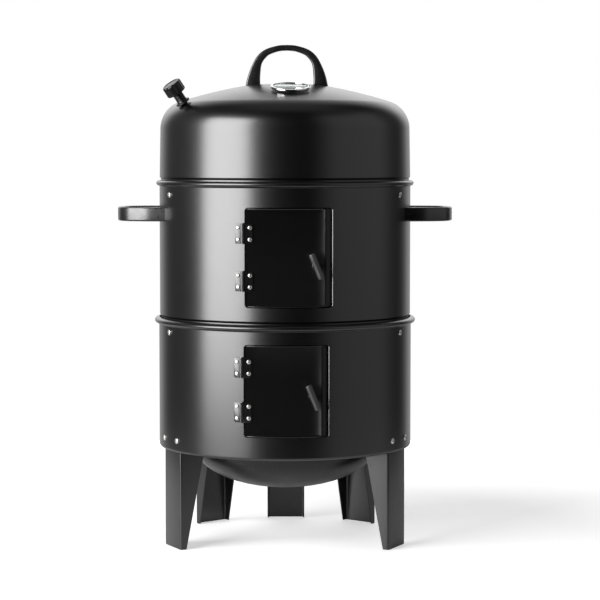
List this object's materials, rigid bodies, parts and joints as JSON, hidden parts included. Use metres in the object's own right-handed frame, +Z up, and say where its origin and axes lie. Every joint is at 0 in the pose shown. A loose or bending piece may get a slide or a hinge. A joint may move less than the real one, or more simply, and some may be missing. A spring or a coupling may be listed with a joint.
{
  "type": "barrel smoker",
  "caption": "Upright charcoal barrel smoker: stacked drum tiers with hinged doors, domed lid with gauge and vent, charcoal and water bowls, grates, channel legs.",
  "frame": {"origin": "on the barrel's axis at floor level, the centre of the bounding box's bottom", "axes": "+Z up along the barrel, -Y is the front with the doors, +X is to the right of someone facing the doors"},
  "size_m": [0.5292, 0.4134, 0.7844],
  "materials": {
    "black_paint": "satin heat-resistant black",
    "handle_black": "satin moulded",
    "latch_black": "satin",
    "hinge_black": "satin, thin paint over steel",
    "hinge_steel": "plain",
    "zinc_fastener": "bright zinc plate",
    "bowl_enamel": "gloss black enamel",
    "grate_chrome": "chrome-plated wire",
    "bezel_chrome": "polished",
    "dial_face": "matt pale",
    "gauge_glass": "clear",
    "needle_black": "matt",
    "probe_steel": "bright",
    "vent_black": "semi-gloss black"
  },
  "bodies": {
    "lower_tier": {"lower_shell": "black_paint", "leg_front_left": "black_paint", "leg_front_right": "black_paint", "leg_rear_left": "black_paint", "leg_rear_right": "black_paint", "leg_rear_centre": "black_paint", "lower_bracket_left": "black_paint", "lower_bracket_right": "black_paint", "lower_bracket_rear": "black_paint", "lower_bracket_screw_left": "zinc_fastener", "lower_bracket_screw_right": "zinc_fastener", "lower_bracket_screw_rear": "zinc_fastener", "lower_hinge_top_frame_leaf": "hinge_black", "lower_hinge_top_pin": "hinge_steel", "lower_hinge_bottom_frame_leaf": "hinge_black", "lower_hinge_bottom_pin": "hinge_steel"},
    "charcoal_bowl": {"charcoal_bowl": "bowl_enamel"},
    "water_bowl": {"water_bowl": "bowl_enamel"},
    "lower_grate": {"lower_grate": "grate_chrome"},
    "lower_door": {"lower_door": "black_paint", "lower_hinge_top_door_leaf": "hinge_black", "lower_hinge_bottom_door_leaf": "hinge_black"},
    "lower_latch": {"lower_latch_bar": "latch_black", "lower_latch_spindle": "latch_black", "lower_latch_tongue": "hinge_steel"},
    "upper_tier": {"upper_shell": "black_paint", "upper_bracket_left": "black_paint", "upper_bracket_right": "black_paint", "upper_bracket_rear": "black_paint", "upper_bracket_screw_left": "zinc_fastener", "upper_bracket_screw_right": "zinc_fastener", "upper_bracket_screw_rear": "zinc_fastener", "upper_hinge_top_frame_leaf": "hinge_black", "upper_hinge_top_pin": "hinge_steel", "upper_hinge_bottom_frame_leaf": "hinge_black", "upper_hinge_bottom_pin": "hinge_steel", "side_handle_left": "handle_black", "side_handle_right": "handle_black"},
    "upper_grate": {"upper_grate": "grate_chrome"},
    "upper_door": {"upper_door": "black_paint", "upper_hinge_top_door_leaf": "hinge_black", "upper_hinge_bottom_door_leaf": "hinge_black"},
    "upper_latch": {"upper_latch_bar": "latch_black", "upper_latch_spindle": "latch_black", "upper_latch_tongue": "hinge_steel"},
    "lid": {"lid_shell": "black_paint", "lid_handle": "handle_black", "lid_handle_screw_left": "zinc_fastener", "lid_handle_screw_right": "zinc_fastener", "thermometer_case": "bezel_chrome", "thermometer_dial": "dial_face", "thermometer_glass": "gauge_glass", "thermometer_probe": "probe_steel", "thermometer_nut": "zinc_fastener", "vent_pipe": "vent_black", "vent_nut": "zinc_fastener"},
    "thermometer_needle": {"thermometer_needle": "needle_black"},
    "vent_cap": {"vent_cap": "vent_black"}
  },
  "joints": [
    {"name": "upper_tier_lift", "type": "slide", "parent": "lower_tier", "child": "upper_tier", "axis": [0, 0, 1], "range_m": [0, 0.25]},
    {"name": "lid_lift", "type": "slide", "parent": "upper_tier", "child": "lid", "axis": [0, 0, 1], "range_m": [0, 0.25]},
    {"name": "charcoal_bowl_lift", "type": "slide", "parent": "lower_tier", "child": "charcoal_bowl", "axis": [0, 0, 1], "range_m": [0, 0.05]},
    {"name": "water_bowl_lift", "type": "slide", "parent": "lower_tier", "child": "water_bowl", "axis": [0, 0, 1], "range_m": [0, 0.08]},
    {"name": "lower_grate_lift", "type": "slide", "parent": "water_bowl", "child": "lower_grate", "axis": [0, 0, 1], "range_m": [0, 0.08]},
    {"name": "upper_grate_lift", "type": "slide", "parent": "upper_tier", "child": "upper_grate", "axis": [0, 0, 1], "range_m": [0, 0.08]},
    {"name": "lower_door_swing", "type": "hinge", "parent": "lower_tier", "child": "lower_door", "pos_m": [-0.0646, -0.19297, 0.25605], "axis": [0, 0, -1], "range_deg": [0, 120]},
    {"name": "upper_door_swing", "type": "hinge", "parent": "upper_tier", "child": "upper_door", "pos_m": [-0.0626, -0.19216, 0.4575], "axis": [0, 0, -1], "range_deg": [0, 120]},
    {"name": "lower_latch_turn", "type": "hinge", "parent": "lower_door", "child": "lower_latch", "pos_m": [0.0428, -0.18254, 0.2474], "axis": [0.0767, -0.9971, 0], "range_deg": [-22.5, 67.5]},
    {"name": "upper_latch_turn", "type": "hinge", "parent": "upper_door", "child": "upper_latch", "pos_m": [0.0477, -0.18135, 0.445], "axis": [0.0767, -0.9971, 0], "range_deg": [-22.5, 67.5]},
    {"name": "needle_turn", "type": "hinge", "parent": "lid", "child": "thermometer_needle", "pos_m": [0.00908, -0.10374, 0.71736], "axis": [-0.0191, 0.2177, -0.9758], "range_deg": [0, 270]},
    {"name": "vent_cap_turn", "type": "hinge", "parent": "lid", "child": "vent_cap", "pos_m": [-0.16837, -0.08953, 0.71078], "axis": [-0.519, -0.2759, 0.809], "continuous": true}
  ]
}
